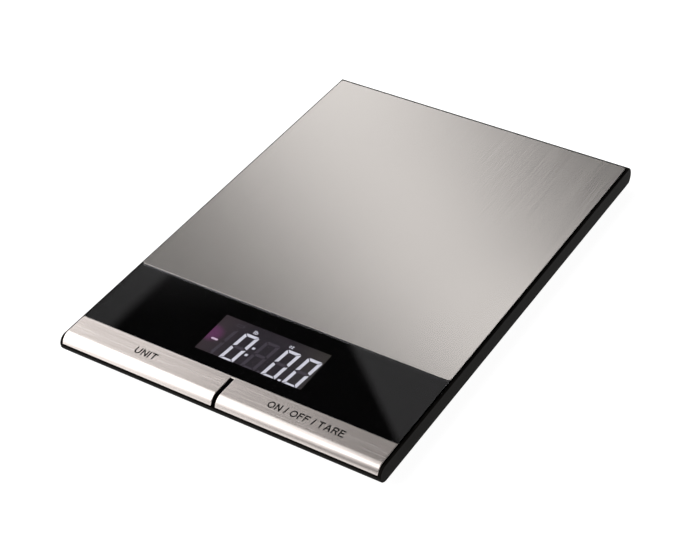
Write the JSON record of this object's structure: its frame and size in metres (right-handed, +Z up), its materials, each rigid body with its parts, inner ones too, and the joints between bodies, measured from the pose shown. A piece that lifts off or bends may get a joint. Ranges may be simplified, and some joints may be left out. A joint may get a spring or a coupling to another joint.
{
  "type": "kitchen scale",
  "caption": "Slim flat electronic kitchen scale: brushed steel weighing platform, glossy black display window and steel-faced front keys in a black tub on rubber feet.",
  "frame": {"origin": "centre of the footprint, on the surface the feet stand on", "axes": "+X to the right seen from the front, +Y to the back, +Z up; keys and display at -Y"},
  "size_m": [0.16, 0.23, 0.012],
  "materials": {
    "tub_plastic": "satin black moulded shell",
    "inner_plastic": "matt black moulding",
    "tray_plastic": "matt black moulding",
    "holder_plastic": "matt black moulding",
    "guide_plastic": "polished white light guide",
    "window_pane": "polished smoke-tinted acrylic",
    "mask_film": "matt black printed film",
    "lcd_glass": "dark negative liquid crystal cell with a polariser film",
    "led_body": "white lamp packages",
    "zebra_rubber": "striped conductive rubber",
    "board_laminate": "green laminate",
    "resin": "cured black resin",
    "ceramic_chips": "ceramic chip bodies",
    "switch_body": "moulded switch body",
    "plunger_plastic": "moulded push button",
    "key_steel": "stainless steel brushed along X",
    "platform_steel": "stainless steel brushed along Y",
    "cell_aluminium": "machined and anodised",
    "sealant": "white cured sealant",
    "zinc_screws": "zinc plated",
    "coin_steel": "satin nickel-plated cans",
    "contact_metal": "nickel-plated spring strip",
    "wire_supply": "insulated wire",
    "wire_signal": "insulated wire",
    "label_film": "blank satin film",
    "foot_rubber": "matt moulded rubber"
  },
  "bodies": {
    "base": {"base_shell": "tub_plastic", "front_deck": "inner_plastic", "deck_screws": "zinc_screws", "display_window": "window_pane", "window_mask": "mask_film", "lcd_cell": "lcd_glass", "lcd_holder": "holder_plastic", "light_guide": "guide_plastic", "backlight_leds": "led_body", "zebra_strip": "zebra_rubber", "main_board": "board_laminate", "board_screws": "zinc_screws", "controller_blob": "resin", "board_chips": "ceramic_chips", "unit_switch": "switch_body", "power_switch": "switch_body", "load_cell": "cell_aluminium", "gauge_potting": "sealant", "cell_screws_lower": "zinc_screws", "coin_cells": "coin_steel", "contact_negative": "contact_metal", "contact_positive": "contact_metal", "battery_wires": "wire_supply", "cell_wires": "wire_signal", "rating_label": "label_film", "foot_front_left": "foot_rubber", "foot_front_right": "foot_rubber", "foot_rear_left": "foot_rubber", "foot_rear_right": "foot_rubber"},
    "platform": {"platform_plate": "platform_steel", "platform_tray": "tray_plastic", "cell_screws_upper": "zinc_screws"},
    "unit_key": {"unit_key_facing": "key_steel", "unit_key_carrier": "inner_plastic"},
    "power_key": {"power_key_facing": "key_steel", "power_key_carrier": "inner_plastic"},
    "unit_push": {"unit_plunger": "plunger_plastic"},
    "power_push": {"power_plunger": "plunger_plastic"},
    "hatch": {"battery_door": "tub_plastic"}
  },
  "joints": [
    {"name": "platform_press", "type": "slide", "parent": "base", "child": "platform", "axis": [0, 0, -1], "range_m": [0, 0.0004], "stiffness_N_per_m": 120000, "deforming": ["load_cell"]},
    {"name": "unit_key_press", "type": "hinge", "parent": "base", "child": "unit_key", "pos_m": [-0.0397, -0.1004, 0.0087], "axis": [1, 0, 0], "range_deg": [0, 1.7], "stiffness_Nm_per_rad": 0.5, "springref_deg": -0.57},
    {"name": "power_key_press", "type": "hinge", "parent": "base", "child": "power_key", "pos_m": [0.0397, -0.1004, 0.0087], "axis": [1, 0, 0], "range_deg": [0, 1.7], "stiffness_Nm_per_rad": 0.5, "springref_deg": -0.57},
    {"name": "unit_push_press", "type": "slide", "parent": "base", "child": "unit_push", "axis": [0, 0, -1], "range_m": [0, 0.00025]},
    {"name": "power_push_press", "type": "slide", "parent": "base", "child": "power_push", "axis": [0, 0, -1], "range_m": [0, 0.00025]},
    {"name": "battery_door_swing", "type": "hinge", "parent": "base", "child": "hatch", "pos_m": [0, 0.0749, 0.0033], "axis": [-1, 0, 0], "range_deg": [0, 95]}
  ],
  "couplings": [
    {"joint": "unit_push_press", "follows": "unit_key_press", "m_per_rad": 0.0078},
    {"joint": "power_push_press", "follows": "power_key_press", "m_per_rad": 0.0078}
  ]
}
